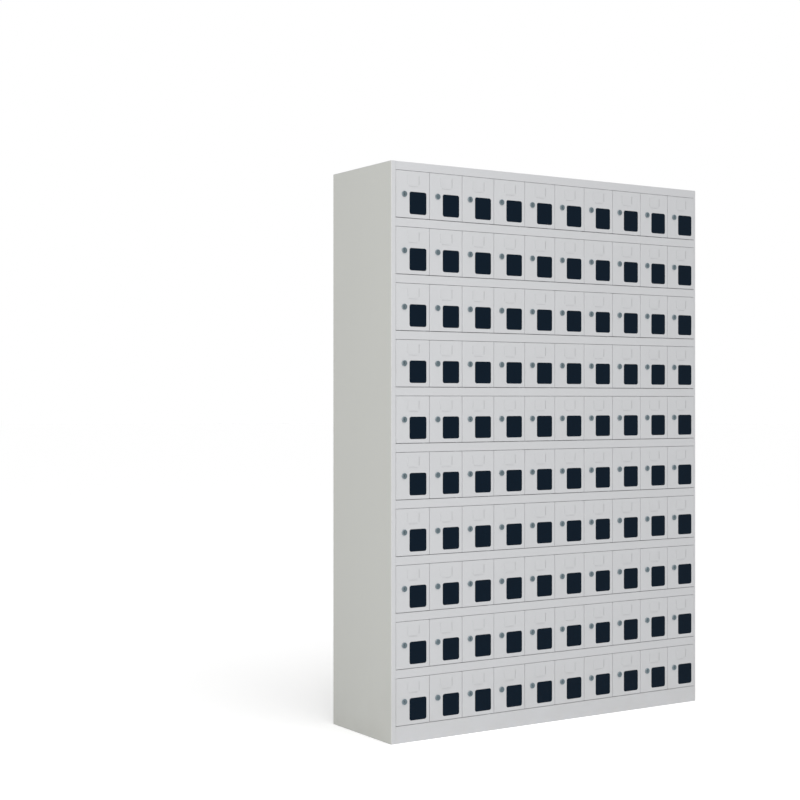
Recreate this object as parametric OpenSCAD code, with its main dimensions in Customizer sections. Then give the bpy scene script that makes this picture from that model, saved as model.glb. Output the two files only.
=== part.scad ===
// Phone locker cabinet: a free-standing steel body with rows of small locked doors.
// X runs to the right as seen from the front, Y runs to the back and Z runs up.
// The origin is on the floor, in the middle of the width and of the whole depth.
// Rows are counted from the top and columns from the left.

/* [Cabinet] */
// Width of the body
cabinet_w = 1200; // [1180:10:1400]
// Height of the body
cabinet_h = 1700; // [1600:10:1900]
// Depth of the body behind the face of the rails
cabinet_d = 335; // [250:10:450]
// Thickness of the steel sheet of the body and the doors
sheet_t = 0.8; // [0.6:0.1:1]
// Outer radius of the bend at the front upright edges
bend_r = 2.5; // [1.5:0.5:4]

/* [Layout] */
// Rows of doors
rows = 10; // [8:1:10]
// Columns of doors
columns = 10; // [8:1:10]
// Height of the plain band above the top row
top_band_h = 25; // [20:1:40]
// Height of the plain band below the bottom row
plinth_h = 50; // [30:1:80]
// Height of the rails between the rows
rail_h = 25; // [18:1:32]
// Depth of the folded rails, bands and stiles
rail_depth = 13; // [13:0.5:18]
// Width of the left stile
left_stile_w = 16; // [8:1:24]
// Width of the right stile
right_stile_w = 8; // [6:1:24]

/* [Doors] */
// Gap between neighbouring doors
door_side_gap = 1.2; // [1.2:0.1:2]
// Gap above each door
door_top_gap = 1; // [0.8:0.1:2]
// Gap below each door
door_bottom_gap = 1.5; // [0.8:0.1:2.5]
// How far the doors stand out past the rails
door_proud = 1; // [0.5:0.1:1.2]
// Depth of the door's folded edge
door_depth = 13; // [10:0.5:13]

/* [Hinge pins] */
// Diameter of the pins
pin_d = 3; // [2.5:0.1:3.5]
// From the door's right edge to the pin's axis
pin_inset = 18; // [17:0.5:20]
// How far a pin reaches past the door's folded edge
pin_reach = 3; // [2:0.5:4]
// Diameter of the pin's riveted head and of its collar
pin_head_d = 4.4; // [4:0.1:5]
// Thickness of the riveted head
pin_head_t = 1; // [0.8:0.1:2]
// Radial clearance of a pin in its holes
pin_clearance = 0.05; // [0.03:0.01:0.1]

/* [Window] */
// Width of the window cut-out
window_w = 59.8; // [45:0.1:60]
// Height of the window cut-out
window_h = 66; // [50:0.5:68]
// Corner radius of the cut-out
window_r = 6.5; // [3:0.5:9]
// From the cut-out to the door's right edge
window_side_margin = 10.3; // [9:0.1:12]
// From the cut-out to the door's lower edge
window_bottom_margin = 11.2; // [11:0.1:16]
// Thickness of the acrylic pane
pane_t = 2; // [1.5:0.5:3]
// How far the pane laps behind the door all round
pane_lap = 4; // [2:0.5:5]

/* [Card holder] */
// Width over the two upright lips
card_w = 44; // [36:1:46]
// From the door's left edge to the left lip
card_x = 37.8; // [34:0.1:40]
// From the door's upper edge to the upright lips
card_top = 13.2; // [10:0.1:15]
// Length of the upright lips
card_side_lip_l = 25; // [18:1:26]
// Length of the lower lip
card_low_lip_l = 30; // [20:1:32]
// From the door's upper edge to the bottom of the lower lip
card_low = 44.8; // [42:0.1:46]
// How far the lips stand out from the door
card_lip_out = 1; // [0.9:0.1:2]
// Thickness of the pressed lips
card_lip_t = 0.6; // [0.5:0.1:0.8]
// Width of the lips' overhang
card_lip_w = 2.2; // [1.8:0.1:3]

/* [Lock] */
// From the door's left edge to the lock's axis
lock_x = 28.2; // [26:0.1:30]
// From the door's upper edge to the lock's axis
lock_drop = 68.6; // [60:0.1:75]
// Diameter of the lock's face
lock_face_d = 18; // [17:0.5:19]
// How far the face stands out from the door
lock_face_t = 2.5; // [2:0.1:4]
// Bevel round the edge of the face
lock_face_bevel = 0.7; // [0.3:0.1:1]
// Diameter of the threaded barrel
barrel_d = 16; // [14:0.5:16]
// Diameter of the turning plug
plug_d = 11; // [9:0.5:12]
// Diameter of the plug's head
plug_head_d = 13; // [12.5:0.5:14]
// Thickness of the plug's head
plug_head_t = 1.5; // [1:0.1:1.8]
// How far the plug's head lies below the lock's face
plug_recess = 0.3; // [0.1:0.1:0.5]
// Radial clearance of the plug in the barrel
plug_clearance = 0.05; // [0.03:0.01:0.1]
// Width of the key slot
key_slot_w = 1.8; // [1.2:0.1:2.4]
// Height of the key slot
key_slot_h = 7; // [6:0.5:8]
// Depth of the key slot
key_slot_depth = 7; // [5:0.5:8]
// Width of the nut across its flats
nut_af = 20; // [19:0.5:21]
// Thickness of the nut
nut_t = 3.5; // [2:0.5:5]
// From the lock's axis to the cam's tip
cam_reach = 24; // [21:0.5:26]
// Width of the cam
cam_w = 12; // [9:0.5:13]
// Thickness of the cam
cam_t = 1.6; // [1.2:0.1:2.5]
// Running gap between the cam and the strike
cam_gap = 0.8; // [0.5:0.1:1.5]
// Width of the strike behind the door's left edge
strike_w = 14; // [12:0.5:15]
// Diameter of the cam screw's thread
screw_d = 4; // [3:0.5:4.5]
// Diameter of the cam screw's head
screw_head_d = 8; // [7:0.5:9]
// Height of the cam screw's head
screw_head_t = 2; // [1.5:0.1:3]
// Length of the cam screw's thread inside the plug
screw_grip = 4; // [2:0.5:5]

/* [Fits] */
// Radial clearance between fixed round pieces
fixed_clearance = 0.3; // [0.2:0.05:0.4]
// End clearance of the pieces that turn
end_clearance = 0.1; // [0.05:0.05:0.3]
// Gap between the plug, the cam and the screw head that are clamped together
stack_gap = 0.05; // [0.02:0.01:0.1]

/* [Hidden] */
$fn = 48;
// What a cutting shape runs past the faces that it opens
overcut = 1;

// Doors that have a hinge and a lock of their own, each as its row and column
solo_doors = [[4, 3], [7, 8]];

// Finishes
paint_front = "#cfd0d2";
paint_side = "#c0c1bb";
paint_inside = "#bfc1c2";
window_tint = "#16202a";
lock_metal = "#6f7d82";
plain_steel = "#9a9da0";

// Layout worked out from the driving sizes
frame_w = cabinet_w - left_stile_w - right_stile_w;
column_pitch = frame_w / columns;
opening_h = (cabinet_h - top_band_h - plinth_h - (rows - 1) * rail_h) / rows;
frame_x = left_stile_w - cabinet_w / 2;
frame_y = (door_proud + lock_face_t - cabinet_d) / 2;
back_y = frame_y + cabinet_d;
rail_back_y = frame_y + rail_depth;
inner_w = cabinet_w - 2 * sheet_t;
inner_h = cabinet_h - 2 * sheet_t;
inner_back_y = back_y - sheet_t;

// Door worked out from its opening
door_y = frame_y - door_proud;
door_w = column_pitch - door_side_gap;
door_h = opening_h - door_top_gap - door_bottom_gap;
pin_hole_d = pin_d + 2 * pin_clearance;
pin_setback = door_proud + sheet_t + fixed_clearance + pin_head_d / 2;
window_x = door_w - window_side_margin - window_w;
card_low_x = card_x + (card_w - card_low_lip_l) / 2;

// Lock worked out from the door and the strike behind it, from the door's front face
lock_z = door_h - lock_drop;
cam_y = door_proud + rail_depth + sheet_t + cam_gap;
barrel_end_y = cam_y - cam_gap / 2;
plug_face_y = plug_recess - lock_face_t;
plug_seat_y = plug_face_y + plug_head_t;
plug_end_y = cam_y - stack_gap;
screw_seat_y = cam_y + cam_t + stack_gap;
screw_hole_d = screw_d + 2 * fixed_clearance;

// Left edge of a column and floor and ceiling of a row
function column_x(column) = frame_x + (column - 1) * column_pitch;
function floor_z(row) = cabinet_h - top_band_h - row * opening_h - (row - 1) * rail_h;
function ceiling_z(row) = (row == 1 ? cabinet_h : floor_z(row - 1)) - sheet_t;
function pin_x(column) = column_x(column + 1) - door_side_gap / 2 - pin_inset;
function is_solo(row, column) = len([for (d = solo_doors) if (d == [row, column]) d]) > 0;

// Names of the repeated nodes
function column_name(piece, column) = str(piece, "_column_", column < 10 ? "0" : "", column);
function solo_name(piece, door) = str(piece, "_row_", door[0], "_column_", door[1]);

BODY_NODES = [
    "left_side_panel", "right_side_panel", "top_panel", "base_plinth", "back_panel",
    "front_rails", "compartment_shelves", "compartment_dividers", "lock_strikes", "hinge_pins"
];
COLUMN_NODES = ["door_panels", "window_panes", "cam_locks"];
SOLO_NODES = [
    "door_panel", "window_pane", "lock_barrel", "lock_nut", "lock_plug", "lock_cam", "cam_screw"
];

// A flat outline in Y and Z, drawn out to the right
module along_x(length) {
    rotate([90, 0, 90]) linear_extrude(length) children();
}

// A flat outline in X and Z, drawn out to the back
module along_y(length) {
    rotate([90, 0, 0]) translate([0, 0, -length]) linear_extrude(length) children();
}

// A round profile of radius and depth, turned about an axis that runs to the back
module turned_to_back() {
    rotate([-90, 0, 0]) rotate_extrude() children();
}

// A hole or rod of a given diameter that runs to the back
module rod_to_back(diameter, length) {
    rotate([-90, 0, 0]) cylinder(d = diameter, h = length);
}

// A rectangle whose near left corner is round
module one_round_corner(size, radius) {
    translate([radius, 0]) square([size[0] - radius, size[1]]);
    translate([0, radius]) square([size[0], size[1] - radius]);
    translate([radius, radius]) circle(radius);
}

// A rectangle whose four corners are round
module round_rectangle(size, radius) {
    translate([radius, 0]) square([size[0] - 2 * radius, size[1]]);
    translate([0, radius]) square([size[0], size[1] - 2 * radius]);
    for (x = [radius, size[0] - radius], y = [radius, size[1] - radius])
        translate([x, y]) circle(radius);
}

// The plan of the body, with its two front corners round
module body_plan() {
    translate([-cabinet_w / 2, frame_y])
        one_round_corner([cabinet_w / 2, cabinet_d], bend_r);
    mirror([1, 0]) translate([-cabinet_w / 2, frame_y])
        one_round_corner([cabinet_w / 2, cabinet_d], bend_r);
}

// The section of a rail: front wall with an upper and a lower fold
module rail_section(height) {
    difference() {
        square([rail_depth, height]);
        translate([sheet_t, sheet_t]) square([rail_depth, height - 2 * sheet_t]);
    }
}

// The holes of one row of pins, from a given height up
module pin_holes(z, height) {
    for (column = [1:columns])
        translate([pin_x(column), door_y + pin_setback, z])
            cylinder(d = pin_hole_d, h = height);
}

// A side sheet standing on the base, with its stile and the return behind the stile
module side_sheet(stile_w) {
    translate([-cabinet_w / 2, frame_y, sheet_t]) linear_extrude(inner_h) difference() {
        one_round_corner([stile_w, cabinet_d], bend_r);
        translate([sheet_t, sheet_t])
            one_round_corner([stile_w - 2 * sheet_t, cabinet_d], bend_r - sheet_t);
        translate([sheet_t, rail_depth]) square([stile_w, cabinet_d]);
    }
}

module left_side_panel() {
    color(paint_side) side_sheet(left_stile_w);
}

module right_side_panel() {
    color(paint_side) mirror([1, 0, 0]) side_sheet(right_stile_w);
}

// The top sheet, with the top band folded down and back between the stiles
module top_panel() {
    color(paint_front) difference() {
        union() {
            translate([0, 0, cabinet_h - sheet_t]) linear_extrude(sheet_t) body_plan();
            translate([frame_x, frame_y, cabinet_h - top_band_h])
                along_x(frame_w) rail_section(top_band_h);
        }
        pin_holes(cabinet_h - top_band_h - overcut, sheet_t + 2 * overcut);
    }
}

// The bottom sheet, with the plinth's band folded up and back between the stiles
module base_plinth() {
    color(paint_front) difference() {
        union() {
            linear_extrude(sheet_t) body_plan();
            translate([frame_x, frame_y, 0]) along_x(frame_w) rail_section(plinth_h);
        }
        pin_holes(plinth_h - sheet_t - overcut, sheet_t + 2 * overcut);
    }
}

module back_panel() {
    color(paint_side) translate([-inner_w / 2, inner_back_y, sheet_t])
        cube([inner_w, sheet_t, inner_h]);
}

module front_rails() {
    color(paint_front) for (row = [1:rows - 1]) difference() {
        translate([frame_x, frame_y, floor_z(row) - rail_h])
            along_x(frame_w) rail_section(rail_h);
        pin_holes(floor_z(row) - rail_h - overcut, rail_h + 2 * overcut);
    }
}

// Each shelf runs on from the upper fold of the rail in front of it
module compartment_shelves() {
    color(paint_inside) for (row = [1:rows])
        translate([-inner_w / 2, rail_back_y, floor_z(row) - sheet_t])
            cube([inner_w, inner_back_y - rail_back_y, sheet_t]);
}

module compartment_dividers() {
    color(paint_inside) for (row = [1:rows], column = [2:columns])
        translate([column_x(column) - sheet_t / 2, rail_back_y + sheet_t, floor_z(row)])
            cube([
                sheet_t,
                inner_back_y - rail_back_y - sheet_t,
                ceiling_z(row) - floor_z(row)
            ]);
}

// Each strike is welded to the front edge of the wall on the left of its compartment
module lock_strikes() {
    color(paint_inside) for (row = [1:rows], column = [1:columns])
        translate([column_x(column) - sheet_t / 2, rail_back_y, floor_z(row)])
            cube([strike_w + sheet_t / 2, sheet_t, ceiling_z(row) - floor_z(row)]);
}

// A pin standing up through a fold at zero height, with its collar in the door's gap
module hinge_pin(gap) {
    head_r = pin_head_d / 2;
    pin_r = pin_d / 2;
    collar_top = gap - end_clearance;
    tip = gap + sheet_t + pin_reach;
    rotate_extrude() polygon([
        [0, -sheet_t - pin_head_t], [head_r, -sheet_t - pin_head_t],
        [head_r, -sheet_t], [pin_r, -sheet_t],
        [pin_r, 0], [head_r, 0],
        [head_r, collar_top], [pin_r, collar_top],
        [pin_r, tip], [0, tip]
    ]);
}

module hinge_pins() {
    color(plain_steel) for (row = [1:rows], column = [1:columns])
        translate([pin_x(column), door_y + pin_setback, floor_z(row)]) {
            hinge_pin(door_bottom_gap);
            translate([0, 0, opening_h]) mirror([0, 0, 1]) hinge_pin(door_top_gap);
        }
}

// Puts a piece that is drawn from a door's lower left front corner at its door
module at_door(row, column) {
    translate([
        column_x(column) + door_side_gap / 2,
        door_y,
        floor_z(row) + door_bottom_gap
    ]) children();
}

// Puts a piece that is drawn from the lock's axis at its door
module at_lock(row, column) {
    at_door(row, column) translate([lock_x, 0, lock_z]) children();
}

// One lip of the card holder along Z: a wall at the left with an overhang to the right
module card_lip(length) {
    translate([0, -card_lip_out, 0]) cube([card_lip_t, card_lip_out + sheet_t, length]);
    translate([0, -card_lip_out, 0]) cube([card_lip_w, card_lip_t, length]);
}

// The slot that a lip leaves in the sheet behind its overhang
module card_slot(length) {
    translate([card_lip_t, -overcut, 0])
        cube([card_lip_w - card_lip_t, sheet_t + 2 * overcut, length]);
}

// Places a child drawn for the left lip at the left, the right and the bottom of the card
module at_card_sides() {
    translate([card_x, 0, door_h - card_top - card_side_lip_l]) children();
    translate([card_x + card_w, 0, door_h - card_top - card_side_lip_l])
        mirror([1, 0, 0]) children();
}

module at_card_bottom() {
    translate([card_low_x + card_low_lip_l, 0, door_h - card_low])
        rotate([0, -90, 0]) children();
}

// The folded pan of one door
module door_panel() {
    difference() {
        cube([door_w, door_depth, door_h]);
        translate([sheet_t, sheet_t, sheet_t])
            cube([door_w - 2 * sheet_t, door_depth, door_h - 2 * sheet_t]);
        translate([window_x, -overcut, window_bottom_margin])
            along_y(sheet_t + 2 * overcut) round_rectangle([window_w, window_h], window_r);
        translate([lock_x, -overcut, lock_z])
            rod_to_back(barrel_d + 2 * fixed_clearance, sheet_t + 2 * overcut);
        translate([door_w - pin_inset, pin_setback, -overcut])
            cylinder(d = pin_hole_d, h = door_h + 2 * overcut);
        at_card_sides() card_slot(card_side_lip_l);
        at_card_bottom() card_slot(card_low_lip_l);
    }
    at_card_sides() card_lip(card_side_lip_l);
    at_card_bottom() card_lip(card_low_lip_l);
}

// The acrylic pane behind the cut-out
module window_pane() {
    translate([window_x - pane_lap, sheet_t, window_bottom_margin - pane_lap])
        cube([window_w + 2 * pane_lap, pane_t, window_h + 2 * pane_lap]);
}

// The barrel with its face, open through the middle for the plug
module lock_barrel() {
    bore_r = plug_d / 2 + plug_clearance;
    head_bore_r = plug_head_d / 2 + plug_clearance;
    face_r = lock_face_d / 2;
    turned_to_back() polygon([
        [head_bore_r, -lock_face_t], [face_r - lock_face_bevel, -lock_face_t],
        [face_r, lock_face_bevel - lock_face_t], [face_r, 0],
        [barrel_d / 2, 0], [barrel_d / 2, barrel_end_y],
        [bore_r, barrel_end_y], [bore_r, plug_seat_y + end_clearance],
        [head_bore_r, plug_seat_y + end_clearance]
    ]);
}

// The plug, with the key slot in its head and the hole for the cam screw at its end
module lock_plug() {
    difference() {
        turned_to_back() polygon([
            [0, plug_face_y], [plug_head_d / 2, plug_face_y],
            [plug_head_d / 2, plug_seat_y], [plug_d / 2, plug_seat_y],
            [plug_d / 2, plug_end_y], [0, plug_end_y]
        ]);
        translate([-key_slot_w / 2, plug_face_y - overcut, -key_slot_h / 2])
            cube([key_slot_w, key_slot_depth + overcut, key_slot_h]);
        translate([0, cam_y - screw_grip - fixed_clearance, 0])
            rod_to_back(screw_hole_d, screw_grip + fixed_clearance + overcut);
    }
}

module lock_nut() {
    translate([0, sheet_t, 0]) difference() {
        rotate([-90, 0, 0]) cylinder(d = nut_af / cos(30), h = nut_t, $fn = 6);
        translate([0, -overcut, 0])
            rod_to_back(barrel_d + 2 * fixed_clearance, nut_t + 2 * overcut);
    }
}

// The cam hangs down from the plug's end while the door is unlocked
module lock_cam() {
    translate([0, cam_y, 0]) difference() {
        along_y(cam_t) {
            circle(d = cam_w);
            translate([-cam_w / 2, cam_w / 2 - cam_reach]) square([cam_w, cam_reach - cam_w / 2]);
            translate([0, cam_w / 2 - cam_reach]) circle(d = cam_w);
        }
        translate([0, -overcut, 0]) rod_to_back(screw_hole_d, cam_t + 2 * overcut);
    }
}

module cam_screw() {
    turned_to_back() polygon([
        [0, cam_y - screw_grip], [screw_d / 2, cam_y - screw_grip],
        [screw_d / 2, screw_seat_y], [screw_head_d / 2, screw_seat_y],
        [screw_head_d / 2, screw_seat_y + screw_head_t], [0, screw_seat_y + screw_head_t]
    ]);
}

// The doors of one column that share its hinge line
module door_panels(column) {
    color(paint_front) for (row = [1:rows]) if (!is_solo(row, column))
        at_door(row, column) door_panel();
}

module window_panes(column) {
    color(window_tint) for (row = [1:rows]) if (!is_solo(row, column))
        at_door(row, column) window_pane();
}

module cam_locks(column) {
    color(lock_metal) for (row = [1:rows]) if (!is_solo(row, column))
        at_lock(row, column) {
            lock_barrel();
            lock_plug();
            lock_nut();
            lock_cam();
            cam_screw();
        }
}

// One piece of a door that has a hinge and a lock of its own
module solo_piece(piece, door) {
    row = door[0];
    column = door[1];
    if (piece == "door_panel") color(paint_front) at_door(row, column) door_panel();
    if (piece == "window_pane") color(window_tint) at_door(row, column) window_pane();
    if (piece == "lock_barrel") color(lock_metal) at_lock(row, column) lock_barrel();
    if (piece == "lock_nut") color(plain_steel) at_lock(row, column) lock_nut();
    if (piece == "lock_plug") color(lock_metal) at_lock(row, column) lock_plug();
    if (piece == "lock_cam") color(plain_steel) at_lock(row, column) lock_cam();
    if (piece == "cam_screw") color(plain_steel) at_lock(row, column) cam_screw();
}

left_side_panel();
right_side_panel();
top_panel();
base_plinth();
back_panel();
front_rails();
compartment_shelves();
compartment_dividers();
lock_strikes();
hinge_pins();
for (c = [1:columns]) {
    door_panels(c);
    window_panes(c);
    cam_locks(c);
}
for (door = solo_doors, piece = SOLO_NODES) {
    solo_piece(piece, door);
}
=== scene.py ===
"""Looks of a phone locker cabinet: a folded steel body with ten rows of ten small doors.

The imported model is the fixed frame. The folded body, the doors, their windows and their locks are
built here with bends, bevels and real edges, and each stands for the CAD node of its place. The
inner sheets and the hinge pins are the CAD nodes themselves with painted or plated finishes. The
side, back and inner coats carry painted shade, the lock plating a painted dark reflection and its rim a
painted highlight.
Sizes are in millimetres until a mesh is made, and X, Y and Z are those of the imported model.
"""

import logging
import math
from collections.abc import Callable, Sequence
from dataclasses import dataclass, field
from enum import Enum

import bmesh
import bpy
from bpy.types import Light, Material, Node, NodeSocket, NodeTree, Object
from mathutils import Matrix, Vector
from mathutils.geometry import tessellate_polygon


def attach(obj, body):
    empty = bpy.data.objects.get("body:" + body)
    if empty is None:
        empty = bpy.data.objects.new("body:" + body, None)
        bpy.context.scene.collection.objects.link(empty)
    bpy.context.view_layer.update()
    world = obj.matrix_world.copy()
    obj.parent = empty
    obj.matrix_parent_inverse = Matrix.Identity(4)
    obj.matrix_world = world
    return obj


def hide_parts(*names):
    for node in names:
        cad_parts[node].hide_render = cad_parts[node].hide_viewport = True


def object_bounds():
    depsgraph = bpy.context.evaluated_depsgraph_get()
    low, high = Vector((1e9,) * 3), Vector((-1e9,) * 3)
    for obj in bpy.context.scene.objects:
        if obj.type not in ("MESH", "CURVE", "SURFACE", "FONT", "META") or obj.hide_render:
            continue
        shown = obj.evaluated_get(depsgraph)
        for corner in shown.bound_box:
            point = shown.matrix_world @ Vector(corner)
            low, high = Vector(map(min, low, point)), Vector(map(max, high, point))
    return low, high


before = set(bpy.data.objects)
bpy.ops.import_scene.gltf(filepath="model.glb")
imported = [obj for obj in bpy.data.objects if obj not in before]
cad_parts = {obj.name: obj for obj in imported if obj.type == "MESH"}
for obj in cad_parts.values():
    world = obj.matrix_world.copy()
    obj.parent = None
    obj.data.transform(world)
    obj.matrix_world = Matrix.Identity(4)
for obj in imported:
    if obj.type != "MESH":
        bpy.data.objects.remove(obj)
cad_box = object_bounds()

log = logging.getLogger("phone_locker")

METRES = 0.001
WELD = 0.0005
SHARP_ANGLE = 35
WHITE = (1.0, 1.0, 1.0, 1.0)

Point2 = tuple[float, float]
Point3 = tuple[float, float, float]
Colour = tuple[float, float, float]
Outline = Sequence[Point2]
Level = tuple[Outline, float]


class Along(Enum):
    """The axis that a flat outline is drawn out along."""

    X = "x"
    Y = "y"
    Z = "z"

    def point(self, u: float, v: float, w: float) -> Point3:
        """Where an outline's point (u, v) lies in space, at w along the axis."""
        if self is Along.X:
            return (w, u, v)
        if self is Along.Y:
            return (u, w, v)
        return (u, v, w)


def arc(centre: Point2, radius: float, start: float, end: float, steps: int) -> list[Point2]:
    """Points along an arc, both ends included.

    Args:
        centre: the arc's centre.
        radius: its radius.
        start: the first angle, in degrees.
        end: the last angle, in degrees.
        steps: how many chords the arc has.

    Returns:
        The points in order.
    """
    found = []
    for i in range(steps + 1):
        a = math.radians(start + (end - start) * i / steps)
        found.append((centre[0] + radius * math.cos(a), centre[1] + radius * math.sin(a)))
    return found


def rounded_rectangle(low: Point2, high: Point2, radius: float, steps: int) -> list[Point2]:
    """The outline of a rectangle with round corners.

    Args:
        low: its lowest corner.
        high: its highest corner.
        radius: the corners' radius.
        steps: how many chords each corner has.

    Returns:
        The points, counter-clockwise from the lower right corner.
    """
    (x0, z0), (x1, z1) = low, high
    corners = [(x1, z0, -90), (x1, z1, 0), (x0, z1, 90), (x0, z0, 180)]
    found: list[Point2] = []
    for x, z, angle in corners:
        cx = x - radius if x == x1 else x + radius
        cz = z + radius if z == z0 else z - radius
        found += arc((cx, cz), radius, angle, angle + 90, steps)
    return found


def circle(radius: float, count: int, centre: Point2 = (0, 0)) -> list[Point2]:
    """The outline of a circle of count points."""
    return arc(centre, radius, 0, 360, count)[:-1]


def rectangle(low: Point2, high: Point2) -> list[Point2]:
    """The outline of a plain rectangle, counter-clockwise."""
    return [(low[0], low[1]), (high[0], low[1]), (high[0], high[1]), (low[0], high[1])]


def folded(path: Outline, thickness: float, radii: Sequence[float], steps: int = 5) -> list[Point2]:
    """The section of a sheet that is folded along a path.

    Args:
        path: the corners of the sheet's outer face. The sheet lies on the right of the path.
        thickness: the sheet's thickness.
        radii: the outer radius of each fold, in the path's order.
        steps: how many chords each fold has.

    Returns:
        The closed outline.
    """
    outer: list[Point2] = []
    inner: list[Point2] = []
    last = len(path) - 1
    for i, corner in enumerate(path):
        here = Vector(corner)
        into = (here - Vector(path[i - 1])).normalized() if i else None
        away = (Vector(path[i + 1]) - here).normalized() if i < last else None
        if into is None or away is None:
            run = away or into
            across = Vector((run.y, -run.x)) * thickness
            outer.append(tuple(here))
            inner.append(tuple(here + across))
            continue
        radius = radii[i - 1]
        centre = here - into * radius + away * radius
        first, turn = here - into * radius - centre, here + away * radius - centre
        begin = math.degrees(math.atan2(first.y, first.x))
        sweep = math.degrees(math.atan2(first.cross(turn), first.dot(turn)))
        outer += arc(tuple(centre), radius, begin, begin + sweep, steps)
        inner += arc(tuple(centre), radius - thickness, begin, begin + sweep, steps)
    return outer + inner[::-1]


@dataclass
class Shell:
    """Closed surfaces of one piece in millimetres, with a finish number for each face."""

    points: list[Point3] = field(default_factory=list)
    faces: list[tuple[int, ...]] = field(default_factory=list)
    finishes: list[int] = field(default_factory=list)

    def add(self, points: Sequence[Point3], faces: Sequence[Sequence[int]]) -> None:
        """Adds faces of the first finish, which count from the first of their own points."""
        start = len(self.points)
        self.points += points
        self.faces += [tuple(start + i for i in f) for f in faces]
        self.finishes += [0] * len(faces)

    def join(self, other: "Shell", at: Point3 = (0, 0, 0), finish: int | None = None) -> None:
        """Adds another shell, moved.

        Args:
            other: the shell to add.
            at: how far it is moved.
            finish: the number of its finish, or None to keep its own.
        """
        start = len(self.points)
        x, y, z = at
        self.points += [(a + x, b + y, c + z) for a, b, c in other.points]
        self.faces += [tuple(start + i for i in f) for f in other.faces]
        self.finishes += other.finishes if finish is None else [finish] * len(other.faces)

    def loft(self, levels: Sequence[Level], axis: Along = Along.Y, closed: bool = False) -> None:
        """Adds quads from outline to outline.

        Args:
            levels: outlines of as many points, each with its place along the axis.
            axis: the axis that the outlines are square to.
            closed: whether the last outline joins the first.
        """
        n = len(levels[0][0])
        faces = []
        for k in range(len(levels) if closed else len(levels) - 1):
            a, b = k * n, (k + 1) % len(levels) * n
            faces += [(a + i, a + (i + 1) % n, b + (i + 1) % n, b + i) for i in range(n)]
        self.add([axis.point(u, v, w) for outline, w in levels for u, v in outline], faces)

    def plate(self, loops: Sequence[Outline], level: float, axis: Along = Along.Y) -> None:
        """Adds a flat face of an outline, then its holes, at a level along the axis."""
        found = tessellate_polygon([[Vector((u, v, 0)) for u, v in loop] for loop in loops])
        self.add([axis.point(u, v, level) for loop in loops for u, v in loop], found)

    def solid(self, levels: Sequence[Level], axis: Along = Along.Y) -> None:
        """Adds quads from outline to outline, and closes both ends."""
        self.loft(levels, axis)
        for outline, level in (levels[0], levels[-1]):
            self.plate([outline], level, axis)

    def draw_out(self, outline: Outline, axis: Along, start: float, end: float) -> None:
        """Adds an outline drawn out along an axis, closed at both ends."""
        self.solid([(outline, start), (outline, end)], axis)

    def turned(self, profile: Outline, count: int, closed: bool = False) -> None:
        """Adds a round wall about the Y axis, from its profile of radii and depths."""
        self.loft([(circle(radius, count), y) for radius, y in profile], closed=closed)

    def mirrored(self) -> "Shell":
        """The shell with X turned round."""
        points = [(-x, y, z) for x, y, z in self.points]
        return Shell(points, [f[::-1] for f in self.faces], list(self.finishes))

    def finish_where(self, test: Callable[[Vector, Vector], bool], finish: int) -> None:
        """Gives some faces another finish.

        Args:
            test: tells from a face's middle and its normal whether the face is one of them.
            finish: the number of their finish.
        """
        for k, face in enumerate(self.faces):
            corners = [Vector(self.points[i]) for i in face]
            middle = sum(corners, Vector()) / len(corners)
            normal = (corners[1] - corners[0]).cross(corners[2] - corners[1]).normalized()
            if test(middle, normal):
                self.finishes[k] = finish

    def outward(self) -> "Shell":
        """A new shell with its seams welded and every face turned outward."""
        mesh = bpy.data.meshes.new("outward")
        mesh.from_pydata(self.points, [], self.faces)
        mesh.polygons.foreach_set("material_index", self.finishes)
        bm = bmesh.new()
        bm.from_mesh(mesh)
        bmesh.ops.remove_doubles(bm, verts=bm.verts, dist=WELD)
        bmesh.ops.recalc_face_normals(bm, faces=bm.faces)
        made = Shell(
            [tuple(v.co) for v in bm.verts],
            [tuple(v.index for v in f.verts) for f in bm.faces],
            [f.material_index for f in bm.faces],
        )
        bm.free()
        bpy.data.meshes.remove(mesh)
        return made

    def build(self, name: str, materials: Sequence[Material]) -> Object:
        """Makes the piece's object at the frame's origin.

        Args:
            name: the piece's name.
            materials: one material for each finish number.

        Returns:
            The new object.
        """
        mesh = bpy.data.meshes.new(name)
        mesh.from_pydata([(x * METRES, y * METRES, z * METRES) for x, y, z in self.points], [], self.faces)
        for material in materials:
            mesh.materials.append(material)
        mesh.polygons.foreach_set("material_index", self.finishes)
        mesh.shade_smooth()
        mesh.set_sharp_from_angle(angle=math.radians(SHARP_ANGLE))
        mesh.validate()
        made = bpy.data.objects.new(name, mesh)
        bpy.context.scene.collection.objects.link(made)
        flats = made.modifiers.new("Flats stay flat", "WEIGHTED_NORMAL")
        flats.keep_sharp = True
        return made


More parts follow.
